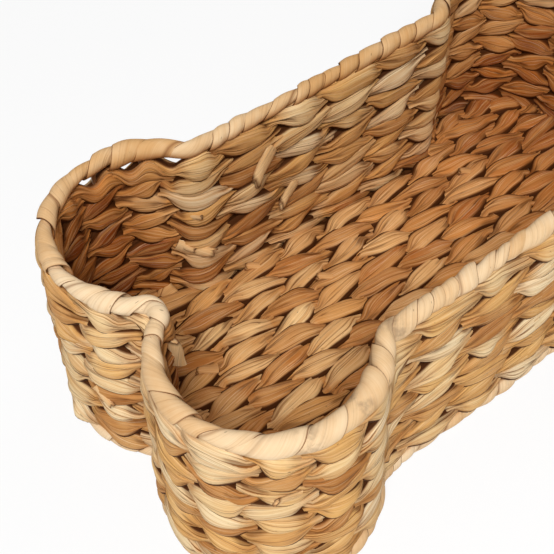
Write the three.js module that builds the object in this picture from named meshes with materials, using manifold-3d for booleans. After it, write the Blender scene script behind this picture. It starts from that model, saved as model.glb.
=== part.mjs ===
// A bone-shaped pet basket. A welded frame of steel wire stands inside the wall and the floor, flattened
// water-hyacinth strands are twined round its wires in rows, two strands to a row, and strip is wound over
// the rim and the foot ring. Millimetres, +Z up, +X along the basket, origin on the ground under the middle.
import * as THREE from 'three';
import Module from 'manifold-3d';
import { mergeVertices } from 'three/addons/utils/BufferGeometryUtils.js';

// Plan, taken along the middle of the rim
const RIM_LENGTH = 387;      // tip to tip of the knuckles
const KNUCKLE_RADIUS = 54;   // each of the four round corners
const KNUCKLE_SPREAD = 98;   // between the centres of the two knuckles of one end
const WAIST_WIDTH = 158;     // across the straight middle
const NECK_INSIDE = 4.5;     // radius left inside the wound rim where the waist meets a knuckle
const NOTCH_INSIDE = 0.8;    // the same where two knuckles meet
const NOTCH_STEEPEST = 70;   // degrees: the most that a knuckle turns in before the notch takes over

// Height
const HEIGHT = 140;          // ground to the top of the wound rim
const FOOT_FLARE = 3;        // the foot ring lies this far outside the rim

// Wire, winding and strands
const HOOP_WIRE = 5;         // diameter of the rim and foot hoops
const RIB_WIRE = 3;          // diameter of the uprights and floor wires
const WRAP_WALL = 1.5;       // least thickness of the wound strip
const LAP = 0.6;             // how far one turn of strip stands over the next
const STRAND = 4.2;          // thickness of a flattened strand
const CLEARANCE = 0.4;       // between pieces that lie against each other

// Spacings that the weave aims at, before they are made to fill their stretch evenly
const WAIST_SPACING = 39;    // uprights along the waist
const KNUCKLE_SPACING = 28;  // uprights round a knuckle
const WALL_ROW = 12.6;       // height of a wall row
const FLOOR_ROW = 11.6;      // width of a floor row

// Fineness of the shapes
const WIRE_SIDES = 6;
const WRAP_SIDES = 6;        // a winding is flat above and below
const STRAND_SECTION = [[0, 1], [-1, -1], [1, -1]];   // a strand is thicker along one edge

const STEEL = { color: 0x8d8f90, roughness: 0.45, metalness: 0.9 };
const STRIP = { color: 0xe8cfa2, roughness: 0.75, metalness: 0 };
const STRAND_FINISH = { roughness: 0.8, metalness: 0 };
const WALL_COLORS = [0xcf9f63, 0xc08a4e, 0xd8ad74];
const FLOOR_COLORS = [0xb98147, 0xa8703a, 0xc4935a];

const UP = new THREE.Vector3(0, 0, 1);
const ACROSS = new THREE.Vector3(0, 1, 0);
const wrapTurn = 2 * Math.PI / WRAP_SIDES;

// Sizes that follow from those
const boreRadius = (HOOP_WIRE / 2 + CLEARANCE) * Math.SQRT2;
const wrapHalf = boreRadius + WRAP_WALL;
const wrapRadius = wrapHalf / Math.cos(wrapTurn / 2);
const rimZ = HEIGHT - wrapHalf;
const footZ = wrapHalf;

const wireRoom = RIB_WIRE / 2 + CLEARANCE;
const floorZ = footZ + wrapHalf + wireRoom;
const strandOff = wireRoom + STRAND / 2;                   // middle of a strand to the middle of the wall
const strandReach = strandOff + STRAND / 2;
const leastSpan = 2 * strandReach + STRAND / 2;            // between wires, for two strands to cross there

const knuckleX = RIM_LENGTH / 2 - KNUCKLE_RADIUS;
const knuckleY = KNUCKLE_SPREAD / 2;
const neckBend = wrapRadius + NECK_INSIDE;
const notchReach = knuckleY / Math.sin(THREE.MathUtils.degToRad(NOTCH_STEEPEST));

const wallBottom = floorZ + wireRoom;
const wallTop = rimZ - wrapHalf - CLEARANCE;
const wallRows = Math.max(1, Math.round((wallTop - wallBottom) / WALL_ROW));
const wallPitch = (wallTop - wallBottom) / wallRows;

const flareAt = (z) => FOOT_FLARE * (rimZ - z) / (rimZ - footZ);

// The plan line of the wall, let out by an offset: waist, necks, knuckles and notches in one closed path.
// Stations number the uprights round it, so the same station lies on the same upright at any offset.
function planLine(offset) {
  const radius = KNUCKLE_RADIUS + offset;
  const waist = WAIST_WIDTH / 2 + offset;
  const notchBend = Math.max(wrapRadius + NOTCH_INSIDE, notchReach - radius);
  const neckTurn = Math.acos((waist + neckBend - knuckleY) / (radius + neckBend));
  const notchTurn = Math.asin(knuckleY / (radius + notchBend));
  const neckX = knuckleX - (radius + neckBend) * Math.sin(neckTurn);
  const notchX = knuckleX + (radius + notchBend) * Math.cos(notchTurn);
  const quarter = Math.PI / 2;

  const path = new THREE.Path();
  path.moveTo(0, -waist);
  for (const side of [1, -1]) {
    const turn = side > 0 ? 0 : Math.PI;
    const [nx, ny] = [side * neckX, side * (waist + neckBend)];
    const [kx, ky] = [side * knuckleX, side * knuckleY];
    path.lineTo(nx, -side * waist);
    path.absarc(nx, -ny, neckBend, turn + quarter, turn + quarter - neckTurn, true);
    path.absarc(kx, -ky, radius, turn - quarter - neckTurn, turn + notchTurn, false);
    path.absarc(side * notchX, 0, notchBend, turn + Math.PI + notchTurn, turn + Math.PI - notchTurn, true);
    path.absarc(kx, ky, radius, turn - notchTurn, turn + quarter + neckTurn, false);
    path.absarc(nx, ny, neckBend, turn + neckTurn - quarter, turn - quarter, true);
  }
  path.closePath();

  const neck = neckX + neckBend * neckTurn / 2;
  const knuckleArc = radius * (quarter + neckTurn + notchTurn);
  const knuckleRun = neckBend * neckTurn / 2 + knuckleArc + notchBend * notchTurn;
  const notch = neck + knuckleRun;
  const corners = [neck, notch, 2 * notch - neck];
  const laterCorners = [2 * notch + neck, 3 * notch, 4 * notch - neck, 4 * notch + neck];
  return { path, corners: [...corners, ...laterCorners], length: 4 * notch, neck, knuckleRun };
}

const rimLine = planLine(0);
const waistSpans = Math.max(1, Math.round(2 * rimLine.neck / WAIST_SPACING));
const knuckleSpans = Math.max(2, Math.round(rimLine.knuckleRun / KNUCKLE_SPACING));
const spans = [knuckleSpans, knuckleSpans, waistSpans, knuckleSpans, knuckleSpans, waistSpans];
const stations = spans.reduce((sum, n) => sum + n, 0);

// The point at a station of a plan line
function planPoint(line, station) {
  let left = THREE.MathUtils.euclideanModulo(station, stations);
  let stretch = 0;
  while (left > spans[stretch]) {
    left -= spans[stretch];
    stretch += 1;
  }
  const run = THREE.MathUtils.lerp(line.corners[stretch], line.corners[stretch + 1], left / spans[stretch]);
  const { x, y } = line.path.getPoint(THREE.MathUtils.euclideanModulo(run / line.length, 1));
  return new THREE.Vector3(x, y, 0);
}

// A step of one millimetre outwards at each point of a run, longer where the run bends, so that a piece
// keeps its width round the bend
function outwardSteps(points, ring) {
  const normals = points.map((point, i) => {
    const next = points[(i + 1) % points.length];
    return next.clone().sub(point).normalize().cross(UP);
  });
  if (!ring) {
    normals[normals.length - 1] = normals.at(-2);
  }
  return normals.map((normal, i) => {
    const before = ring || i > 0 ? normals.at(i - 1) : normal;
    return normal.clone().add(before).divideScalar(1 + normal.dot(before));
  });
}

// A skin over a run of like sections: round and round for a ring, capped at both ends otherwise
function loft(sections, ring) {
  const sides = sections[0].length;
  const points = sections.flat();
  const faces = [];
  const steps = ring ? sections.length : sections.length - 1;
  for (let i = 0; i < steps; i++) {
    const here = i * sides;
    const next = ((i + 1) % sections.length) * sides;
    for (let j = 0; j < sides; j++) {
      const k = (j + 1) % sides;
      faces.push([here + j, here + k, next + k], [here + j, next + k, next + j]);
    }
  }
  if (!ring) {
    const end = points.length - sides;
    for (let j = 1; j < sides - 1; j++) {
      faces.push([0, j + 1, j], [end, end + j, end + j + 1]);
    }
  }
  const volume = faces.reduce((sum, [a, b, c]) => sum + points[a].dot(points[b].clone().cross(points[c])), 0);
  const outwards = volume > 0 ? faces : faces.map(([a, b, c]) => [a, c, b]);
  const geometry = new THREE.BufferGeometry();
  geometry.setAttribute('position', new THREE.Float32BufferAttribute(points.flatMap((p) => p.toArray()), 3));
  geometry.setIndex(outwards.flat());
  return geometry;
}

const basket = new THREE.Group();

function addPiece(name, geometry, finish) {
  const flat = geometry.index ? geometry.toNonIndexed() : geometry;
  flat.computeVertexNormals();
  const mesh = new THREE.Mesh(flat, new THREE.MeshStandardMaterial(finish));
  mesh.name = name;
  basket.add(mesh);
}

// Wire frame: both hoops, an upright at every station, and floor wires from wall to wall, welded into one
const wasm = await Module();
wasm.setup();

function solidOf(geometry) {
  const bare = geometry.clone();
  bare.deleteAttribute('normal');
  bare.deleteAttribute('uv');
  const merged = mergeVertices(bare);
  return new wasm.Manifold(new wasm.Mesh({
    numProp: 3,
    vertProperties: new Float32Array(merged.attributes.position.array),
    triVerts: new Uint32Array(merged.index.array),
  }));
}

function geometryOf(solid) {
  const mesh = solid.getMesh();
  const geometry = new THREE.BufferGeometry();
  geometry.setAttribute('position', new THREE.Float32BufferAttribute(mesh.vertProperties, 3));
  geometry.setIndex([...mesh.triVerts]);
  return geometry;
}

// A straight wire between two points
function wire(from, to) {
  const reach = to.clone().sub(from);
  const geometry = new THREE.CylinderGeometry(RIB_WIRE / 2, RIB_WIRE / 2, reach.length(), WIRE_SIDES);
  const turn = new THREE.Quaternion().setFromUnitVectors(THREE.Object3D.DEFAULT_UP, reach.normalize());
  geometry.applyQuaternion(turn);
  const middle = from.clone().add(to).multiplyScalar(0.5);
  return geometry.translate(middle.x, middle.y, middle.z);
}

// A ring swept round a plan line: each section is a list of steps outwards and upwards
const ringPoints = (line) => Array.from({ length: 2 * stations }, (_, half) => planPoint(line, half / 2));

function sweptRing(line, z, sectionAt) {
  const points = ringPoints(line);
  const steps = outwardSteps(points, true);
  const sections = points.map((point, i) => sectionAt(i).map(([out, up]) => (
    point.clone().addScaledVector(steps[i], out).addScaledVector(UP, z + up))));
  return loft(sections, true);
}

const circle = Array.from({ length: WIRE_SIDES }, (_, side) => {
  const angle = 2 * Math.PI * (side + 0.5) / WIRE_SIDES;
  return [HOOP_WIRE / 2 * Math.cos(angle), HOOP_WIRE / 2 * Math.sin(angle)];
});

const footLine = planLine(FOOT_FLARE);
const floorLine = planLine(flareAt(floorZ));
const at = (line, station, z) => planPoint(line, station).setZ(z);

let frame = solidOf(sweptRing(rimLine, rimZ, () => circle));
frame = frame.add(solidOf(sweptRing(footLine, footZ, () => circle)));
for (let station = 0; station < stations; station++) {
  frame = frame.add(solidOf(wire(at(footLine, station, footZ), at(rimLine, station, rimZ))));
}

// Floor wires run across from each waist and neck upright, and from the upright at the crown of a knuckle
// where that is far enough from the neck for the strands to cross between them
const knuckleUprights = Array.from({ length: knuckleSpans }, (_, step) => step);
const floorPoint = (station) => at(floorLine, station, floorZ);
const crown = knuckleUprights.reduce((best, station) => (
  floorPoint(station).y < floorPoint(best).y ? station : best));
const crownHeld = floorPoint(crown).x - floorPoint(0).x > leastSpan;
const waistUprights = Array.from({ length: waistSpans + 1 }, (_, step) => step - waistSpans);
const floorStations = crownHeld ? [-waistSpans - crown, ...waistUprights, crown] : waistUprights;
const floorWires = floorStations.map((station) => {
  const near = floorPoint(station);
  frame = frame.add(solidOf(wire(near, near.clone().setY(-near.y))));
  return near.x;
});
addPiece('wire_frame', geometryOf(frame), STEEL);

// Wound strip over a hoop: six-sided and open towards the uprights, with a turn of the strip to each of them
// climbing over the last one by its lap. Where the basket stands on it, the strip is pressed flat.
function winding(line, z, away, pressed) {
  return sweptRing(line, z, (ring) => {
    const outside = Array.from({ length: WRAP_SIDES }, (_, corner) => {
      const angle = (corner - 1) * wrapTurn;
      const flat = pressed && Math.sin(angle) > 0;
      const turns = ring / 2 + corner / WRAP_SIDES;
      const under = flat ? 0 : Math.abs(2 * (turns % 1) - 1);
      const radius = wrapRadius - under * LAP;
      return [radius * Math.cos(angle), away * radius * Math.sin(angle)];
    });
    return [...outside, [-boreRadius, 0], [0, away * boreRadius], [boreRadius, 0]];
  });
}

addPiece('rim_wrap', winding(rimLine, rimZ, 1, false), STRIP);
addPiece('foot_wrap', winding(footLine, footZ, -1, true), STRIP);

// One twined row: a strand doubled round its first wire, whose two halves pass before and behind each wire
// in turn and cross between wires. The lane is the row's middle line, two points to a wire from the fold on.
function twinedRow(lane, end, fronts, across, halfRow, slant, foldReach) {
  const crossGap = CLEARANCE / 2;
  const half = (ply) => lane.map((point, i) => {
    const count = Math.min(i / 2, end);
    const before = Math.cos(Math.PI * count);
    const level = slant * ply * Math.sin(Math.PI * count) * (halfRow + crossGap) / 2;
    const tall = halfRow - Math.abs(level);
    return STRAND_SECTION.map(([out, up]) => point.clone()
      .addScaledVector(fronts[i], ply * (before * strandOff + out * STRAND / 2))
      .addScaledVector(across, level + up * tall));
  });

  const heading = lane[1].clone().sub(lane[0]).normalize();
  const fold = [1, -1].map((side) => STRAND_SECTION.map(([out, up]) => lane[0].clone()
    .addScaledVector(fronts[0], side * (strandOff + out * STRAND / 2))
    .addScaledVector(heading, (1 - out) * STRAND / 2 - foldReach)
    .addScaledVector(across, up * halfRow)));
  return loft([...half(1).reverse(), ...fold, ...half(-1)], false);
}

// The points of a lane that ends after a given count of wires
function lanePoints(end, pointAt) {
  return Array.from({ length: Math.ceil(2 * end) + 1 }, (_, i) => pointAt(Math.min(i / 2, end)));
}

// Wall rows, one above the other. Each starts at an upright of the waist, on the two sides by turns.
const waistSpan = 2 * rimLine.neck / waistSpans;
const wallEnd = stations - (strandReach + CLEARANCE) / waistSpan;
for (let row = 0; row < wallRows; row++) {
  const z = wallBottom + (row + 0.5) * wallPitch;
  const line = planLine(flareAt(z));
  const side = row % 2 ? 2 * knuckleSpans + waistSpans : 0;
  const start = side - 1 - row % Math.max(1, waistSpans - 1);
  const lane = lanePoints(wallEnd, (count) => at(line, start + count, z));
  const slant = row % 2 ? 1 : -1;
  const halfRow = (wallPitch - CLEARANCE) / 2;
  const geometry = twinedRow(lane, wallEnd, outwardSteps(lane, false), UP, halfRow, slant, strandReach);
  const color = WALL_COLORS[row % WALL_COLORS.length];
  addPiece(`wall_row_${row + 1}`, geometry, { color, ...STRAND_FINISH });
}

// The floor's edge, clear of the wall and of the foot winding
const edgeRoom = Math.max(wrapRadius, strandReach) + CLEARANCE;
const edgeFlare = flareAt(wallBottom + wallPitch);
const edgePoints = ringPoints(planLine(edgeFlare));
const edgeSteps = outwardSteps(edgePoints, true);
const floorEdge = edgePoints.map((point, i) => point.addScaledVector(edgeSteps[i], -edgeRoom));
const halfFloor = WAIST_WIDTH / 2 + edgeFlare - edgeRoom;
const knuckleFloor = knuckleY + KNUCKLE_RADIUS - WAIST_WIDTH / 2;

// Stretches of a line along the basket that lie on the floor
function stretchesAt(y) {
  const ends = [];
  floorEdge.forEach((a, i) => {
    const b = floorEdge[(i + 1) % floorEdge.length];
    if ((a.y > y) !== (b.y > y)) {
      ends.push(THREE.MathUtils.mapLinear(y, a.y, b.y, a.x, b.x));
    }
  });
  ends.sort((p, q) => p - q);
  return ends.flatMap((x, i) => (i % 2 ? [] : [[x, ends[i + 1]]]));
}

function shared(some, others) {
  return some.flatMap(([a, b]) => others.map(([c, d]) => [Math.max(a, c), Math.min(b, d)]))
    .filter(([from, to]) => rowEnd(to) - rowStart(from).first > leastSpan);
}

// A floor row starts round a wire near the floor's edge, or beyond one too near to go round, and ends alike.
// Its fold reaches back to the edge.
function rowStart(from) {
  const edge = from + strandReach;
  const near = floorWires.find((x) => Math.abs(x - edge) < leastSpan) ?? edge;
  const first = near < edge ? near + wireRoom + strandReach : near;
  const foldReach = near < edge ? strandReach : near - from;
  return { first, foldReach };
}

function rowEnd(to) {
  const near = floorWires.find((x) => Math.abs(x - to) < leastSpan) ?? to;
  return near > to ? Math.min(to, near - wireRoom) : near;
}

function addFloorRow(name, y, pitch, slant, color) {
  const halfRow = (pitch - CLEARANCE) / 2;
  const stretches = [-halfRow, 0, halfRow].map((step) => stretchesAt(y + step)).reduce(shared);
  stretches.forEach(([from, to], part) => {
    const { first, foldReach } = rowStart(from);
    const last = rowEnd(to);
    const held = floorWires.filter((x) => x > first + leastSpan && x < last - leastSpan);
    const wires = [first, ...held, last];
    const end = wires.length - 1;
    const lane = lanePoints(end, (count) => {
      const wireBefore = Math.min(Math.floor(count), end - 1);
      const x = THREE.MathUtils.lerp(wires[wireBefore], wires[wireBefore + 1], count - wireBefore);
      return new THREE.Vector3(x, y, floorZ);
    });
    const geometry = twinedRow(lane, end, lane.map(() => UP), ACROSS, halfRow, slant, foldReach);
    const ending = stretches.length > 1 ? `_${part + 1}` : '';
    addPiece(name + ending, geometry, { color, ...STRAND_FINISH });
  });
}

// Floor rows, side by side along the basket. Those of the waist run from end to end; those beside them fill
// the knuckles, and half a row stays free at the crown, where the wall curves away too fast for one.
const waistRows = Math.max(1, Math.round(2 * halfFloor / FLOOR_ROW));
const waistPitch = 2 * halfFloor / waistRows;
const knuckleRows = Math.max(0, Math.round(knuckleFloor / FLOOR_ROW));
const knucklePitch = knuckleFloor / (knuckleRows + 0.5);

const floorRows = [];
for (let row = knuckleRows - 1; row >= 0; row--) {
  floorRows.push([-halfFloor - (row + 0.5) * knucklePitch, knucklePitch]);
}
for (let row = 0; row < waistRows; row++) {
  floorRows.push([(row + 0.5) * waistPitch - halfFloor, waistPitch]);
}
for (let row = 0; row < knuckleRows; row++) {
  floorRows.push([halfFloor + (row + 0.5) * knucklePitch, knucklePitch]);
}
floorRows.forEach(([y, pitch], row) => {
  const name = `floor_row_${String(row + 1).padStart(2, '0')}`;
  addFloorRow(name, y, pitch, row % 2 ? 1 : -1, FLOOR_COLORS[row % FLOOR_COLORS.length]);
});

export default basket;
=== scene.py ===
import math
import bpy
import numpy as np
from mathutils import Matrix, Vector


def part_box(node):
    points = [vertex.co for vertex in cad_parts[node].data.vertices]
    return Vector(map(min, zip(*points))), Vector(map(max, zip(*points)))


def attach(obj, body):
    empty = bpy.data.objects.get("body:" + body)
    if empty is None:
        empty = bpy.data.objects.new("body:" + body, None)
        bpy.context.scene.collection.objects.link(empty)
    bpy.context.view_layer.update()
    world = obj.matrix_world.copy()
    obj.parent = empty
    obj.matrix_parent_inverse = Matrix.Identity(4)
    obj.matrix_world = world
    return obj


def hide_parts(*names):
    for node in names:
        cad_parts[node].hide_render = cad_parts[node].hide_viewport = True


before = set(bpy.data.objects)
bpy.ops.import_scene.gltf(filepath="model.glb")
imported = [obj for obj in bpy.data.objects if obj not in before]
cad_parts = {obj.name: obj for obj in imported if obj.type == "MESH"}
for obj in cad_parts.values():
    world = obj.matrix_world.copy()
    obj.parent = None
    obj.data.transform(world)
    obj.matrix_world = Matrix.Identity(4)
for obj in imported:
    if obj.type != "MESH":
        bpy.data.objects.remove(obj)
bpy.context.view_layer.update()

# Wire frame: hoops, uprights and floor wires of drawn steel wire, welded together before the weaving starts.
# Stems and strip cover it, and only a glint of dull, slightly rusted wire shows in the gaps.

WIRE_GREY, WIRE_RUST = (0.33, 0.22, 0.13), (0.20, 0.09, 0.04)


class Socket:
    """A socket of a finish: operators add Math nodes, and node() adds any other node."""

    def __init__(self, tree, out=None):
        self.tree = tree
        self.out = out

    def node(self, kind, sockets, output=0, stops=None, **settings):
        made = self.tree.nodes.new(kind)
        for key, value in settings.items():
            setattr(made, key, value)
        if stops:
            elements = made.color_ramp.elements
            while len(elements) < len(stops):
                elements.new(1)
            for element, (place, color) in zip(elements, stops):
                element.position = place
                element.color = (*color, 1)
        for key, value in sockets.items():
            if isinstance(value, Socket):
                self.tree.links.new(value.out, made.inputs[key])
            else:
                made.inputs[key].default_value = value
        return Socket(self.tree, made.outputs[output] if made.outputs else None)

    def math(self, operation, *values):
        return self.node("ShaderNodeMath", dict(enumerate(values)), operation=operation)

    def __add__(self, other):
        return self.math("ADD", self, other)

    def __sub__(self, other):
        return self.math("SUBTRACT", self, other)

    def __rsub__(self, other):
        return self.math("SUBTRACT", other, self)

    def __mul__(self, other):
        return self.math("MULTIPLY", self, other)

    def __pow__(self, other):
        return self.math("POWER", self, other)

    __radd__ = __add__
    __rmul__ = __mul__

    def between(self, low, high):
        return self.node("ShaderNodeMapRange", {"Value": self, "From Min": low, "From Max": high},
                         interpolation_type="SMOOTHSTEP")

    def blend(self, color, share, way="MIX"):
        return self.node("ShaderNodeMix", {"Factor": share, 6: self, 7: (*color, 1)}, output=2,
                         data_type="RGBA", blend_type=way)

    def scaled(self, x, y, z):
        return self.node("ShaderNodeVectorMath", {0: self, 1: (x, y, z)}, operation="MULTIPLY")

    def noise(self, scale, detail=3.0, roughness=0.55):
        return self.node("ShaderNodeTexNoise", {"Vector": self, "Scale": scale, "Detail": detail,
                                                "Roughness": roughness})


def new_finish(name):
    material = bpy.data.materials.new(name)
    material.use_nodes = True
    material.node_tree.nodes.clear()
    return material, Socket(material.node_tree)


def close_finish(start, surface):
    start.node("ShaderNodeOutputMaterial", {"Surface": surface})


drawn_wire, start = new_finish("drawn_wire")
place = start.node("ShaderNodeTexCoord", {}, output=3)
rust = place.noise(180.0).between(0.52, 0.68)
wire_color = start.node("ShaderNodeValToRGB", {"Fac": rust}, stops=[(0, WIRE_GREY), (1, WIRE_RUST)])
close_finish(start, start.node("ShaderNodeBsdfPrincipled", {
    "Base Color": wire_color, "Metallic": 1 - rust, "Roughness": 0.45 + 0.3 * rust}))
wire_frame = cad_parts["wire_frame"]
wire_frame.data.materials.clear()
wire_frame.data.materials.append(drawn_wire)

# Cut ends: a dried stem that runs out is cut square, and its hollow, flattened end is left standing out.
# One is modelled, a little bent and ragged at the cut, and copied to wherever an end is seen.

END_SIDES, END_RADIUS, END_FLATNESS = 14, 0.0036, 0.36
END_STEP, END_TAPER = (0.0005, 0, 0.0032), (0.98, 1.05, 1)
END_BENDS, END_BEND_ABOUT = (0.10, 0.16, 0.05, -0.08, -0.05), (0, 0, 0.006)
END_WALL, END_HOLLOW, END_RAGGED = 0.0007, 0.003, 0.0006
# Painted shade: the end shade darkens all of the cut end a little, and the hollow shade its hollow.
END_TONE, END_SHADE, HOLLOW_SHADE = 0.8, 0.3, 0.75

bpy.ops.object.select_all(action="DESELECT")
bpy.ops.mesh.primitive_circle_add(vertices=END_SIDES, radius=END_RADIUS, fill_type="NGON")
cut_stem = bpy.context.object
bpy.ops.object.mode_set(mode="EDIT")
bpy.ops.mesh.select_all(action="SELECT")
bpy.ops.transform.resize(value=(1, END_FLATNESS, 1))
for bend in END_BENDS:
    bpy.ops.mesh.extrude_region_move(TRANSFORM_OT_translate={"value": END_STEP})
    bpy.ops.transform.rotate(value=bend, orient_axis="Y", center_override=END_BEND_ABOUT)
    bpy.ops.transform.resize(value=END_TAPER)
bpy.ops.mesh.inset(thickness=END_WALL)
bpy.ops.transform.translate(value=(0, 0, -END_HOLLOW))
bpy.ops.object.mode_set(mode="OBJECT")
bpy.ops.object.shade_smooth_by_angle(angle=0.7)
ragged = np.random.default_rng(7)
for vertex in list(cut_stem.data.vertices)[-2 * END_SIDES:]:
    vertex.co.z += ragged.normal() * END_RAGGED

spots = np.array([vertex.co for vertex in cut_stem.data.vertices])
in_hollow = np.arange(len(spots)) >= len(spots) - END_SIDES
end_uv = cut_stem.data.uv_layers.active
end_uv.name = "strand"
for loop in cut_stem.data.loops:
    x, y, z = spots[loop.vertex_index]
    end_uv.data[loop.index].uv = (z, 0.004 * math.atan2(y, x))
# Painted shade marks of the cut end.
end_marks = {"tone": END_TONE + 0 * in_hollow, "crease_shade": HOLLOW_SHADE * in_hollow,
             "painted_shade": END_SHADE + 0 * in_hollow}
for key, values in end_marks.items():
    cut_stem.data.attributes.new(key, "FLOAT", "POINT").data.foreach_set("value", values)


def tucked_end(name, place, heading, face, size):
    """A copy of the cut end, laid along heading with its flat side to face."""
    z = Vector(heading).normalized()
    y = (Vector(face) - z * Vector(face).dot(z)).normalized()
    turn = Matrix((y.cross(z), y, z)).transposed().to_4x4()
    mesh = cut_stem.data.copy()
    mesh.transform(Matrix.Translation(place) @ turn @ Matrix.Diagonal((size, size, size, 1)))
    mesh.name = name
    return mesh


# Floor rows: flattened, dried water-hyacinth stems, twined in pairs lengthwise round the floor wires.
# The two stems of a row pass over and under each wire and swap places between wires. New stems are laid in
# as old ones run out, so tones change often, and every row ends tucked in under the first wall row.

SPAN_STEPS, STEM_ROUND = 14, 32
STEM_DEEP, STEM_PRESSED, STEM_OFF_WIRE = 0.0042, 0.0005, 0.0031
STEM_FULL, STEM_SKEW, STEM_CLIMB = 1.28, 0.8, 0.40
LONGEST_STEM = 3

# Painted shade: the two shade colours darken shaded faces, the tip colour the tips where stems dive under,
# and the crease and gap colours the creases, gaps and recesses. The band, fibre, line, speck and water stain
# colours are the stem's own.
SHADE_WARM, SHADE_DEEP = (0.86, 0.46, 0.16), (0.54, 0.44, 0.34)
BAND_BROWN, FIBRE_BROWN, FIBRE_PALE = (0.58, 0.28, 0.09), (0.33, 0.14, 0.04), (0.95, 0.80, 0.54)
LINE_BROWN, SPECK_BLACK, TIP_SHADE = (0.22, 0.075, 0.016), (0.05, 0.016, 0.005), (0.40, 0.15, 0.035)
CREASE_SHADE, GAP_SHADOW, WATER_STAIN = (0.075, 0.016, 0.002), (0.05, 0.014, 0.0025), (0.20, 0.13, 0.08)

FLOOR_Z, FLOOR_SPAN = 0.0131, 0.037
FLOOR_OVERLAP, FLOOR_TUCK = 0.0012, 0.008
FLOOR_NECK, PRESSED_NECK, BARE_EDGE, ROW_WAVE = 0.76, 0.95, -0.05, 0.0006
WALL_SIDE_Y, WALL_SIDE_SHIFT, WALL_SIDE_WIDER = 0.070, 0.0022, 0.0018
FLOOR_ENDS = ((-0.124, 0.018), (-0.024, 0.040), (-0.054, 0.072), (0.06, -0.03), (0.11, 0.05), (0.02, -0.06))
FLOOR_ENDS_NEAR, FLOOR_ENDS_UP, FLOOR_ENDS_SIZE = 0.0056, 0.0045, 0.9
FLOOR_ENDS_HEADING = (-0.8, 0.4, 0.35)


def drift(rng, length, count):
    """A smooth wandering value along a row, about -1 to 1, that comes back to where it began."""
    turns = np.arange(length) / length * 2 * math.pi
    value = np.zeros(length)
    for wave in range(1, count + 1):
        value += rng.normal() * np.cos(wave * turns + rng.uniform(0, 6.3))
    return value / math.sqrt(count / 2 + 0.5)


def per_stem(rng, spans, shortest, longest):
    """One random value for each span of a strand, kept over the spans that one stem covers."""
    values = []
    while len(values) < spans:
        values += [rng.uniform()] * rng.integers(shortest, longest + 1)
    return np.array(values[:spans])


def woven_skin(name, points, along, across, marks, closed, tube=True):
    """A skin over rings of points, with lengths along and across it as UV and its marks as attributes."""
    rings, sides = points.shape[:2]
    i = np.arange(rings if closed else rings - 1)[:, None]
    j = np.arange(sides if tube else sides - 1)[None, :]
    corners = [(i, j), (i, j + 1), (i + 1, j + 1), (i + 1, j)]
    faces = np.stack([a % rings * sides + b % sides for a, b in corners], 2).reshape(-1, 4).tolist()
    lengths = np.stack([np.stack([along[a + 0 * b], across[b + 0 * a]], 2) for a, b in corners], 2)
    if not closed:
        faces += [list(range(sides))[::-1], list(range((rings - 1) * sides, rings * sides))]
    mesh = bpy.data.meshes.new(name)
    mesh.from_pydata(points.reshape(-1, 3).tolist(), [], faces)
    uv = np.zeros(2 * len(mesh.loops))
    uv[:lengths.size] = lengths.ravel()
    mesh.uv_layers.new(name="strand").data.foreach_set("uv", uv)
    for key, values in marks.items():
        attribute = mesh.attributes.new(key, "FLOAT", "POINT")
        attribute.data.foreach_set("value", np.ascontiguousarray(values, float).ravel())
    mesh.polygons.foreach_set("use_smooth", np.ones(len(mesh.polygons), bool))
    mesh.update()
    return mesh


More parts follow.
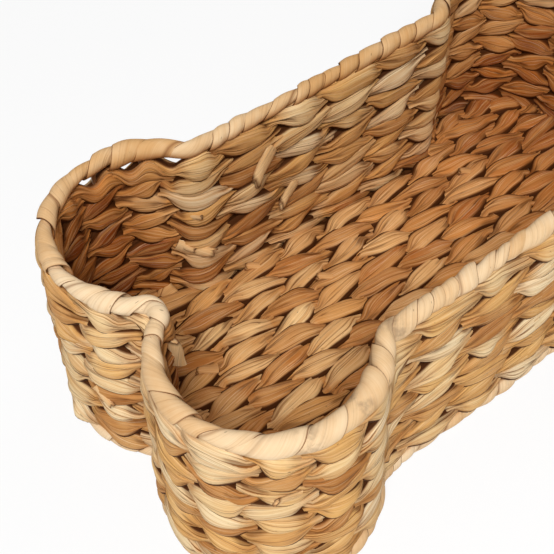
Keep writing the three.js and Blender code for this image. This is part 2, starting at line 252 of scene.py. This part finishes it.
def twined_strand(name, rng, axis, spans, phase, slant, tall, neck, bare, hang, dim_back, dim_front, closed):
    """One strand of a row: a stem, broad where it passes a wire and drawn in to a neck where it swaps sides.

    axis gives the row's middle and its outward and upward directions. bare keeps the painted edge shade
    off the upper and the lower edge, hang tips the stem over, and dim_back and dim_front are the painted
    shade on its back and front faces.
    """
    rings = spans * SPAN_STEPS + (0 if closed else 1)
    count = np.arange(rings) / SPAN_STEPS
    middle, out, up = axis(count)

    def wander(amount):
        return amount * drift(rng, rings, spans)

    turn = math.pi * (count + wander(0.07)) + phase
    swing, climb = np.cos(turn), np.sin(turn)
    front = swing ** 2

    span_of = np.floor(turn / math.pi + 0.5).astype(int)
    tones = per_stem(rng, spans + 4, 1, LONGEST_STEM)
    if closed:
        tone = tones[span_of % spans]
        tone = sum(np.roll(tone, step) for step in range(-2, 3)) / 5
    else:
        tone = tones[span_of - span_of.min()]

    broad = 1 + wander(0.08)
    plump = 1 + wander(0.10)

    def half_width(side):
        swell = np.abs(np.cos(turn + side * STEM_SKEW * slant * swing)) ** 0.7
        return tall * (neck + (STEM_FULL - neck) * swell) * broad

    deep = (STEM_DEEP - STEM_PRESSED * front) * plump
    away = STEM_OFF_WIRE * swing * (1 + wander(0.07))
    rise = slant * tall * STEM_CLIMB * np.arcsin(0.96 * climb) * (1 + wander(0.12))
    lean = hang * np.where(swing > 0, 1, 0.35) * (1 + wander(0.4)) + wander(0.07)

    angle = np.arange(STEM_ROUND) / STEM_ROUND * 2 * math.pi
    pleat = np.zeros((rings, STEM_ROUND))
    for folds in (5, 8, 11):
        pleat += np.cos(folds * angle + rng.uniform(0, 6.3))[None, :] * wander(1)[:, None]
    pleat *= (0.016 + 0.065 * (1 - front) ** 1.5)[:, None]
    across, through = np.cos(angle)[None, :], np.sin(angle)[None, :]
    half = np.where(across > 0, half_width(1)[:, None], half_width(-1)[:, None])
    pinch = ((1 - front) ** 3)[:, None]
    beside = half * np.sign(across) * np.abs(across) ** (0.9 + 0.8 * pinch)
    thick = deep[:, None] * np.sign(through) * np.abs(through) ** (0.85 + 0.5 * pinch) * (1 + 1.5 * pleat)
    off = away[:, None] + thick - (lean * swing)[:, None] * beside
    over = rise[:, None] + beside * (1 + 0.5 * pleat)
    points = middle[:, None, :] + off[:, :, None] * out[:, None, :] + over[:, :, None] * up[:, None, :]

    # Painted shade: sunk darkens the recesses where the two stems cross, tucked darkens the edges that run in
    # under the neighbours, and the pleats are darkened in their folds.
    sunk = np.clip((0.0028 - np.abs(off)) / 0.0020, 0, 1)
    # Painted shade: the back face takes dim_back and the front face dim_front.
    behind = np.clip(0.5 - off / 0.004, 0, 1)
    painted_shade = behind * np.reshape(dim_back, (-1, 1)) + (1 - behind) * np.reshape(dim_front, (-1, 1))
    from_crest = np.abs(across) - np.where(across > 0, bare[0], bare[1]) + 0.05 * painted_shade
    tucked = np.interp(from_crest, (0.66, 0.76, 0.84), (0, 0.35, 1))
    crease_shade = np.maximum(np.maximum(tucked, sunk), np.clip(-7 * pleat, 0, 0.5))
    marks = {"tone": tone[:, None] + 0 * off, "crease_shade": crease_shade, "painted_shade": painted_shade,
             "tip": (1 - front)[:, None] + 0 * off}

    along = np.cumsum(np.linalg.norm(np.diff(middle, axis=0, prepend=middle[:1]), axis=1)) + rng.uniform(0, 5)
    along = np.append(along, along[-1] + (along[1] - along[0]))
    girth = np.linalg.norm(np.diff(points, axis=1, append=points[:, :1]), axis=2).mean(0)
    return woven_skin(name, points, along, np.concatenate([[0], np.cumsum(girth)]), marks, closed)


def strand_finish(name, stems, crease_shade_color, veins):
    """Dried stem: long fibres, a few dark lines and specks, blotches, and painted shade on shaded faces, in
    creases, gaps and recesses, and at its tips.
    """
    material, start = new_finish(name)
    uv = start.node("ShaderNodeUVMap", {}, uv_map="strand")
    place = start.node("ShaderNodeTexCoord", {}, output=3)
    tone, crease_shade, painted_shade, tip, stain = (start.node("ShaderNodeAttribute", {}, output=2, attribute_name=key)
                                      for key in ("tone", "crease_shade", "painted_shade", "tip", "stain"))
    fibre = uv.scaled(24, 1700, 1).noise(1.0, 4.0, 0.65)
    band = uv.scaled(14, 520, 1).noise(1.0, 2.0)
    line = uv.scaled(9, 900, 1).noise(1.0, 1.0).between(0.40, 0.33)
    blotch = place.noise(55.0, 3.0)
    speck = uv.scaled(260, 700, 1).noise(1.0, 1.0).between(0.73, 0.79)
    damp = place.noise(160.0, 4.0).between(0.40, 0.66)
    crumple = uv.scaled(70, 240, 1).noise(1.0, 3.0)

    # Painted shade: shaded faces turn to darker tones and take the two shade colours, tips take the tip
    # colour, and creases, gaps and recesses take the crease and gap colours.
    stem = tone - 0.15 * painted_shade + 0.55 * (blotch - 0.5)
    color = start.node("ShaderNodeValToRGB", {"Fac": stem}, stops=stems)
    color = color.blend(SHADE_WARM, painted_shade, way="MULTIPLY")
    color = color.blend(SHADE_DEEP, painted_shade ** 2, way="MULTIPLY")
    color = color.blend(BAND_BROWN, 0.55 * veins * band.between(0.58, 0.36))
    color = color.blend(FIBRE_BROWN, (0.46 + 0.35 * tip) * veins * fibre.between(0.50, 0.32))
    color = color.blend(FIBRE_PALE, 0.34 * veins * fibre.between(0.50, 0.70))
    color = color.blend(LINE_BROWN, (0.42 + 0.5 * tip) * veins * line)
    color = color.blend(SPECK_BLACK, 0.5 * speck)
    color = color.blend(TIP_SHADE, 0.42 * veins * tip ** 2)
    color = color.blend(crease_shade_color, 0.9 * crease_shade.between(0.1, 0.8))
    color = color.blend(GAP_SHADOW, 0.95 * crease_shade.between(0.65, 1.0))
    color = color.blend(WATER_STAIN, 0.6 * stain * damp)
    relief = veins * (0.5 * fibre + (0.4 + 0.8 * tip) * band - (0.5 + tip) * line) + 0.5 * crumple
    bump = start.node("ShaderNodeBump", {"Strength": 0.75, "Distance": 0.0009, "Height": relief})
    close_finish(start, start.node("ShaderNodeBsdfPrincipled", {
        "Base Color": color, "Roughness": 0.58 + 0.25 * fibre, "Normal": bump, "Specular IOR Level": 0.06}))
    return material


def join_strands(name, meshes, finish):
    parts = []
    for part, mesh in enumerate(meshes):
        obj = bpy.data.objects.new(f"{name}_{part}", mesh)
        bpy.context.collection.objects.link(obj)
        parts.append(obj)
    bpy.ops.object.select_all(action="DESELECT")
    for obj in parts:
        obj.select_set(True)
    bpy.context.view_layer.objects.active = parts[0]
    if len(parts) > 1:
        bpy.ops.object.join()
    whole = bpy.context.view_layer.objects.active
    whole.name = name
    whole.data.materials.clear()
    whole.data.materials.append(finish)
    return whole


floor_finish = strand_finish("floor_stems", [
    (0.00, (0.44, 0.155, 0.034)), (0.20, (0.54, 0.27, 0.097)), (0.45, (0.68, 0.325, 0.097)),
    (0.70, (0.68, 0.385, 0.157)), (1.0, (0.88, 0.57, 0.26))], CREASE_SHADE, 1.0)

for number, node in enumerate(sorted(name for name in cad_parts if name.startswith("floor_row"))):
    rng = np.random.default_rng(500 + number)
    low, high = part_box(node)
    middle_y, tall, neck = (low[1] + high[1]) / 2, (high[1] - low[1]) / 2 + FLOOR_OVERLAP, FLOOR_NECK
    if abs(middle_y) > WALL_SIDE_Y:
        middle_y += math.copysign(WALL_SIDE_SHIFT, middle_y)
        tall += WALL_SIDE_WIDER
        neck = PRESSED_NECK
    from_x, to_x = low[0] - FLOOR_TUCK, high[0] + FLOOR_TUCK
    spans = max(1, round((to_x - from_x) / FLOOR_SPAN))
    bow = ROW_WAVE * drift(rng, spans * SPAN_STEPS + 1, 5)

    def floor_axis(count):
        x = from_x + (to_x - from_x) * count / spans
        middle = np.stack([x, middle_y + bow, FLOOR_Z + 0 * x], 1)
        return middle, np.tile((0.0, 0.0, 1.0), (len(x), 1)), np.tile((0.0, 1.0, 0.0), (len(x), 1))

    slant = 1 if int(node.split("_")[2]) % 2 else -1
    phase = math.pi * (from_x + 0.25) / ((to_x - from_x) / spans) + rng.uniform(-0.35, 0.35)
    # Painted shade: the tops of the floor stems darken towards the far end, and their undersides are fully
    # shaded.
    dim = 0.7 * np.clip((np.linspace(from_x, to_x, spans * SPAN_STEPS + 1) + 0.06) / 0.22, 0, 1)
    strands = [twined_strand(f"floor_{number}_{ply}", rng, floor_axis, spans, phase + ply * math.pi, slant,
                             tall, neck, (BARE_EDGE, BARE_EDGE), 0.0, 1.0, dim, False)
               for ply in (0, 1)]
    for x, y in FLOOR_ENDS:
        if abs(y - middle_y) < FLOOR_ENDS_NEAR:
            place = (x, middle_y, FLOOR_Z + FLOOR_ENDS_UP)
            strands.append(tucked_end("floor_end", place, FLOOR_ENDS_HEADING, (0, 0, 1), FLOOR_ENDS_SIZE))
    floor_row = join_strands(f"twined_{node}", strands, floor_finish)
    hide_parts(node)
    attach(floor_row, "root")

# Wall rows: nine rows of the same stems, twined round the uprights and pressed down one on the other.
# They run round the plan of the basket, a bone with straight sides, four round knuckles and tight bends where
# these meet, a little wider at the foot. Neighbouring rows slant opposite ways.

WAIST_SPANS, KNUCKLE_SPANS = 5, 7
QUARTER = WAIST_SPANS / 2 + KNUCKLE_SPANS
WIRES = int(4 * QUARTER)
WAIST_HALF, KNUCKLE_RADIUS = 0.079, 0.054
KNUCKLE_X, KNUCKLE_Y = 0.1395, 0.049
NECK_BEND, NOTCH_BEND = 0.011, 0.0073
RIM_Z, FOOT_Z, FOOT_FLARE = 0.1344, 0.0056, 0.003
WALL_ROWS, WALL_BOTTOM, WALL_PITCH, WALL_OVERLAP = 9, 0.0124, 0.0130, 0.0008
WALL_NECK, WALL_HANG, LOWEST_SUNK = 0.67, 0.20, 0.0018
HIGHEST_UP, HIGHEST_TALLER, BARE_UNDER_RIM = 0.0009, 0.0003, 0.25
RIM_GAPS, GAP_REACH, GAP_DROP, GAP_THINNER = (21.9, 22.75, 23.6), 0.30, 0.0066, 0.0031


def bone_line(wire, flare):
    """Points of the plan and the outward direction there; wires are counted from the middle of one side."""
    radius, waist = KNUCKLE_RADIUS + flare, WAIST_HALF + flare
    neck_turn = math.acos((waist + NECK_BEND - KNUCKLE_Y) / (radius + NECK_BEND))
    notch_turn = math.asin(KNUCKLE_Y / (radius + NOTCH_BEND))
    neck_x = KNUCKLE_X - (radius + NECK_BEND) * math.sin(neck_turn)
    notch_x = KNUCKLE_X + (radius + NOTCH_BEND) * math.cos(notch_turn)
    ends = np.cumsum([neck_x, NECK_BEND * neck_turn, radius * (math.pi / 2 + neck_turn + notch_turn),
                      NOTCH_BEND * notch_turn])
    neck = neck_x + NECK_BEND * neck_turn / 2

    wire = np.mod(np.asarray(wire, float), WIRES)
    quarter = np.floor(wire / QUARTER)
    local = wire - quarter * QUARTER
    local = np.where(quarter % 2 > 0, QUARTER - local, local)
    waist_wires = WAIST_SPANS / 2
    run = np.where(local < waist_wires, local / waist_wires * neck,
                   neck + (local - waist_wires) / KNUCKLE_SPANS * (ends[3] - neck))

    on_neck = (run - ends[0]) / NECK_BEND
    on_knuckle = (run - ends[1]) / radius - math.pi / 2 - neck_turn
    on_notch = math.pi + notch_turn - (run - ends[2]) / NOTCH_BEND
    stretch = np.searchsorted(ends[:3], run)
    x = np.choose(stretch, [run, neck_x + NECK_BEND * np.sin(on_neck),
                            KNUCKLE_X + radius * np.cos(on_knuckle), notch_x + NOTCH_BEND * np.cos(on_notch)])
    y = np.choose(stretch, [-waist + 0 * run, -waist - NECK_BEND * (1 - np.cos(on_neck)),
                            -KNUCKLE_Y + radius * np.sin(on_knuckle), NOTCH_BEND * np.sin(on_notch)])
    out_x = np.choose(stretch, [0 * run, -np.sin(on_neck), np.cos(on_knuckle), -np.cos(on_notch)])
    out_y = np.choose(stretch, [-1 + 0 * run, -np.cos(on_neck), np.sin(on_knuckle), -np.sin(on_notch)])
    side_x = np.where(quarter > 1, -1, 1)
    side_y = np.where((quarter == 1) | (quarter == 2), -1, 1)
    return (np.stack([side_x * x, side_y * y, 0 * x], 1),
            np.stack([side_x * out_x, side_y * out_y, 0 * x], 1))


def flare_at(z):
    return FOOT_FLARE * (RIM_Z - z) / (RIM_Z - FOOT_Z)


wall_finish = strand_finish("wall_stems", [
    (0.00, (0.40, 0.155, 0.038)), (0.20, (0.57, 0.30, 0.105)), (0.40, (0.74, 0.42, 0.140)),
    (0.60, (0.77, 0.53, 0.260)), (0.80, (0.81, 0.61, 0.345)), (1.00, (0.85, 0.67, 0.42))], CREASE_SHADE, 1.0)

# Cut ends by row: wire it stands by, side of the wall, heading along and up, lift off the wall, size.
SEEN_ENDS = {
    3: [(21.95, -1, -1.0, -0.4, 0.10, 1.4), (21.9, -1, -0.7, -0.1, 0.3, 0.7),
        (27.1, 1, 0.7, -0.4, 0.15, 0.9)],
    4: [(19.6, -1, 0.8, -0.3, 0.2, 1.2)],
    5: [(21.6, -1, -0.8, 0.2, 0.25, 0.6)],
    6: [(32.8, 1, -0.8, 0.3, 0.15, 0.8)],
    7: [(20.1, -1, 0.8, -0.5, 0.2, 1.5), (2.9, -1, 0.6, 0.6, 0.2, 0.9)],
}
ENDS_OFF_WALL = 0.0048
NOTCH_END_ROW, NOTCH_END_PLACE, NOTCH_END_SIZE = 7, (-0.1675, -0.0105, 0.100), 1.35
NOTCH_END_HEADING, NOTCH_END_FACE = (0.10, -0.12, 1.0), (-0.6, -0.8, 0)

for row in range(WALL_ROWS):
    rng = np.random.default_rng(100 + row)
    lowest, highest = row == 0, row == WALL_ROWS - 1
    stations = np.arange(WIRES * SPAN_STEPS) / SPAN_STEPS + 0.5
    wave = ROW_WAVE * drift(rng, len(stations), 9)
    tall = WALL_PITCH / 2 + WALL_OVERLAP + 0 * wave
    if highest:
        slack = sum(np.exp(-((stations - gap) / GAP_REACH) ** 2) for gap in RIM_GAPS)
        wave += HIGHEST_UP - GAP_DROP * slack
        tall = tall + HIGHEST_TALLER - GAP_THINNER * slack

    def wall_axis(count):
        z = WALL_BOTTOM + (row + 0.5) * WALL_PITCH - (LOWEST_SUNK if lowest else 0)
        middle, out = bone_line(count + 0.5, flare_at(z))
        middle[:, 2] = z + np.interp(count, np.arange(len(wave)) / SPAN_STEPS, wave)
        return middle, out, np.tile((0.0, 0.0, 1.0), (len(count), 1))

    slant = 1 if row % 2 else -1
    neck = PRESSED_NECK if lowest else WALL_NECK
    bare = (BARE_UNDER_RIM if highest else BARE_EDGE, BARE_EDGE)
    # Painted shade on the inner face of the wall: darker towards the foot, and darker still in the knuckles,
    # more at one end than the other.
    depth = 1 - row / (WALL_ROWS - 1)
    from_waist = np.abs(np.mod(stations + QUARTER, 2 * QUARTER) - QUARTER) - WAIST_SPANS / 2
    hollow = np.clip(from_waist / 2, 0, 1) * np.where(stations > 2 * QUARTER, 1.35, 0.65)
    gloom = 0.04 + 0.30 * depth + hollow * (0.52 + 0.66 * depth)
    strands = [twined_strand(f"wall_{row}_{ply}", rng, wall_axis, WIRES, ply * math.pi, slant, tall, neck,
                             bare, WALL_HANG, gloom, 0.0, True)
               for ply in (0, 1)]

    far_ends = [(rng.uniform(3, 18), rng.choice((-1, 1)), rng.choice((-0.8, 0.8)), rng.uniform(-0.5, 0.5),
                 0.15, 0.9)
                for _ in range(2)]
    for wire, side, run, climb, lift, size in SEEN_ENDS.get(row, []) + far_ends:
        near, out, _ = wall_axis(np.array([wire - 0.5, wire - 0.4]))
        along = Vector(near[1] - near[0]).normalized()
        face = Vector(out[0]) * side
        heading = along * run + Vector((0, 0, climb)) + face * lift
        strands.append(tucked_end(f"end_{row}", Vector(near[0]) + face * ENDS_OFF_WALL, heading, face, size))
    if row == NOTCH_END_ROW:
        strands.append(tucked_end("notch_end", NOTCH_END_PLACE, NOTCH_END_HEADING, NOTCH_END_FACE,
                                  NOTCH_END_SIZE))
    wall_row = join_strands(f"twined_wall_row_{row + 1}", strands, wall_finish)
    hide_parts(f"wall_row_{row + 1}")
    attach(wall_row, "root")

bpy.data.objects.remove(cut_stem)

# Rim and foot windings: pale flat strip of the same plant, wound in close laps over the two hoops.
# Each turn covers the edge of the last. A thin line of painted shadow runs slantwise round the rim at every
# lap, where the strip's own edge is also a little darker.

LAP_ROUND, LAP_ACROSS = 28, 12
LAP_LENGTH, LAP_OVERLAP, LAP_TILT = 0.0142, 0.35, 0.0011
STRIP_WIDTH, STRIP_THICK = 0.014, 0.0004
GROUND_CLEAR = 0.0002
WIDE_LAPS_AT, WIDE_LAPS_REACH = 32, 2.6
BULGE_AT, BULGE_REACH, BULGE = 32.8, 2.0, 0.0010
# Painted light: the direction towards the key lamp, in which the strip is painted paler.
PAINTED_LIGHT_TOWARDS = (-4, -7, 0)
STAINS, STAIN_REACH = (32.95, 34.0, 35.65), 0.16

strip_finish = strand_finish("wound_strip", [
    (0.00, (0.52, 0.27, 0.095)), (0.3, (0.62, 0.36, 0.155)), (0.6, (0.74, 0.52, 0.30)),
    (1.0, (0.82, 0.65, 0.44))], (0.20, 0.07, 0.018), 0.30)


def wound_strip(name, node, z, flare, seed, radius, inner_shade, stains):
    """One strip wound round and round a hoop, each lap a little over the last."""
    rng = np.random.default_rng(seed)
    dense = np.linspace(0, WIRES, 4001)
    line, _ = bone_line(dense, flare)
    run = np.concatenate([[0], np.cumsum(np.linalg.norm(np.diff(line, axis=0), axis=1))])
    hoop = run[-1]
    turns = round(hoop / LAP_LENGTH)
    steps = turns * LAP_ROUND
    turn = np.arange(steps) / LAP_ROUND
    lap_of = np.floor(turn).astype(int)
    station = turn / turns * WIRES

    wide = 0.2 * np.exp(-((station - WIDE_LAPS_AT) / WIDE_LAPS_REACH) ** 2)
    pace = 1 + 0.30 * drift(rng, steps, turns // 2) + wide
    center = np.concatenate([[0], np.cumsum(np.clip(pace, 0.6, 1.5))])
    center = center[:-1] / center[-1] * hoop
    reach = np.roll(center, -LAP_ROUND) - np.roll(center, LAP_ROUND)
    reach = np.where(reach < 0, reach + hoop, reach) / 2
    bulge = BULGE * np.exp(-((station - BULGE_AT) / BULGE_REACH) ** 2)
    swell = bulge + 0.0006 * drift(rng, steps, turns // 3) + 0.0003 * drift(rng, steps, turns)
    fray = 0.0004 * drift(rng, steps, turns * 3)
    # Painted light: laps on the side towards the key lamp are paler, on top of their own random tone.
    near = np.clip(0.5 + bone_line(station, 0.0)[0] @ PAINTED_LIGHT_TOWARDS, 0, 1)
    tone = 0.36 * per_stem(rng, turns, 1, LONGEST_STEM)[lap_of] + 0.11 + 0.36 * near

    share = np.append(np.linspace(0, 0.955, LAP_ACROSS - 1), 1)
    slide = -0.0013 * (1 + 0.8 * drift(rng, steps, turns // 2)) * np.cos(turn * 2 * math.pi)
    spread = reach[:, None] * ((1 + LAP_OVERLAP) * share - LAP_OVERLAP)[None, :]
    place = (center + slide)[:, None] + spread + fray[:, None] * share[None, :]
    wire = np.interp(np.mod(place, hoop).ravel(), run, dense)
    middle, out = bone_line(wire, flare)
    middle = middle.reshape(steps, LAP_ACROSS, 3) + (0, 0, z)
    out = out.reshape(steps, LAP_ACROSS, 3)
    puff = 0.0004 + 0.0009 * per_stem(rng, turns, 1, 1)[lap_of]
    bead = np.sin(math.pi * np.clip((share - 0.12) / 0.88, 0, 1) ** 1.5)
    lift = radius + swell[:, None] + puff[:, None] * bead[None, :] + LAP_TILT * (share - 0.6)[None, :]
    angle = (turn * 2 * math.pi)[:, None]
    up = np.array((0, 0, 1.0))
    points = middle + (lift * np.cos(angle))[:, :, None] * out + (lift * np.sin(angle))[:, :, None] * up
    points[:, :, 2] = np.maximum(points[:, :, 2], GROUND_CLEAR)

    # Painted shadow: a line beside the edge of the lap that lies over this one, and a line along the strip's
    # own edge, which is also a little darker in itself. Painted shade: the foot strip all round but its outer
    # face, and the under and inner side of each hoop.
    lap_line_strength = per_stem(rng, turns, 1, 1)[lap_of][:, None]
    under_lap_shadow = lap_line_strength * np.clip(0.7 - 5 * np.abs(share - 0.28), 0, 1)
    lap_edge = np.where(share > 0.99, 0.68 + 0.32 * lap_line_strength, under_lap_shadow)
    inner_side_shade = np.clip(inner_shade - 1.5 * inner_shade * np.cos(angle), 0, 1) + 0 * lift
    shade = np.clip(-0.55 * np.sin(angle) - 0.30 * np.cos(angle), 0, 0.55)
    spots = sum(np.exp(-((wire.reshape(lift.shape) - spot) / STAIN_REACH) ** 2) for spot in stains)
    marks = {"tone": tone[:, None] + 0 * lift, "crease_shade": np.maximum(lap_edge, inner_side_shade),
             "painted_shade": np.maximum(inner_side_shade, shade), "stain": spots + 0 * lift}
    along = np.arange(steps + 1) * 2 * math.pi * radius / LAP_ROUND
    mesh = woven_skin(name, points, along, share * STRIP_WIDTH, marks, closed=True, tube=False)
    strip = join_strands(name, [mesh], strip_finish)
    thickness = strip.modifiers.new("thickness", "SOLIDIFY")
    thickness.thickness = STRIP_THICK
    thickness.offset = -1
    bpy.ops.object.modifier_apply(modifier="thickness")
    bpy.ops.object.shade_smooth_by_angle(angle=0.9)
    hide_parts(node)
    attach(strip, "root")


wound_strip("wound_foot", "foot_wrap", FOOT_Z, flare_at(FOOT_Z), 31, 0.0050, 1.0, ())
wound_strip("wound_rim", "rim_wrap", RIM_Z, 0.0, 32, 0.0044, 0.0, STAINS)

# Studio: a plain white floor, a large soft lamp above the near end and a weaker one from the far side.
# The camera looks down on the near end from the left, as in the photograph.

SKY_LIGHT = 0.19
LAMPS_AIM = (0, 0, 0.06)
CAMERA_PLACE, CAMERA_LENS, CAMERA_SENSOR = (-0.3103, -0.2845, 0.5414), 69.385, 36
CAMERA_HEADING, CAMERA_DOWN, CAMERA_ROLL = 53.02, 50.86, -1.19


def seen_ray(start):
    """1 for what the camera sees, straight or in a shine or through glass, and 0 for light on its way."""
    seen = start.node("ShaderNodeLightPath", {}, output="Is Camera Ray")
    for kind in ("Is Glossy Ray", "Is Transmission Ray"):
        seen = seen.math("MAXIMUM", seen, start.node("ShaderNodeLightPath", {}, output=kind))
    return seen


bpy.ops.object.select_all(action="DESELECT")
bpy.ops.mesh.primitive_plane_add(size=8, location=(0, 0, 0))
floor = bpy.context.object
floor.name = "studio_floor"
floor_white, start = new_finish("studio_floor")
matte = start.node("ShaderNodeBsdfDiffuse", {"Color": (0.85, 0.85, 0.85, 1)})
bright = start.node("ShaderNodeEmission", {"Color": (1, 1, 1, 1), "Strength": 1.0})
around = start.node("ShaderNodeTexCoord", {}, output=3)
far = start.node("ShaderNodeVectorMath", {0: around}, output=1, operation="LENGTH").between(0.45, 1.3)
close_finish(start, start.node("ShaderNodeMixShader", {
    0: (0.8 + 0.2 * far) * seen_ray(start), 1: matte, 2: bright}))
floor.data.materials.append(floor_white)

world = bpy.context.scene.world or bpy.data.worlds.new("studio")
bpy.context.scene.world = world
world.use_nodes = True
world.node_tree.nodes.clear()
start = Socket(world.node_tree)
sky_strength = SKY_LIGHT + (1 - SKY_LIGHT) * seen_ray(start)
sky = start.node("ShaderNodeBackground", {"Color": (1, 1, 1, 1), "Strength": sky_strength})
start.node("ShaderNodeOutputWorld", {"Surface": sky})


def soft_lamp(name, place, size, power):
    lamp = bpy.data.lights.new(name, "AREA")
    lamp.energy = power
    lamp.size = size
    obj = bpy.data.objects.new(name, lamp)
    obj.location = place
    obj.rotation_euler = (Vector(LAMPS_AIM) - Vector(place)).to_track_quat("-Z", "Y").to_euler()
    bpy.context.collection.objects.link(obj)


soft_lamp("key_lamp", (-0.8, -0.85, 1.75), 0.7, 43)
soft_lamp("fill_lamp", (1.4, 0.6, 1.6), 1.4, 7)

camera_data = bpy.data.cameras.new("photo_camera")
camera_data.lens = CAMERA_LENS
camera_data.sensor_width = CAMERA_SENSOR
camera = bpy.data.objects.new("photo_camera", camera_data)
bpy.context.collection.objects.link(camera)
aim = (Matrix.Rotation(math.radians(CAMERA_HEADING - 90), 4, "Z")
       @ Matrix.Rotation(math.radians(90 - CAMERA_DOWN), 4, "X")
       @ Matrix.Rotation(math.radians(CAMERA_ROLL), 4, "Z"))
camera.matrix_world = Matrix.Translation(CAMERA_PLACE) @ aim
bpy.context.scene.camera = camera
bpy.context.scene.view_settings.view_transform = "Standard"
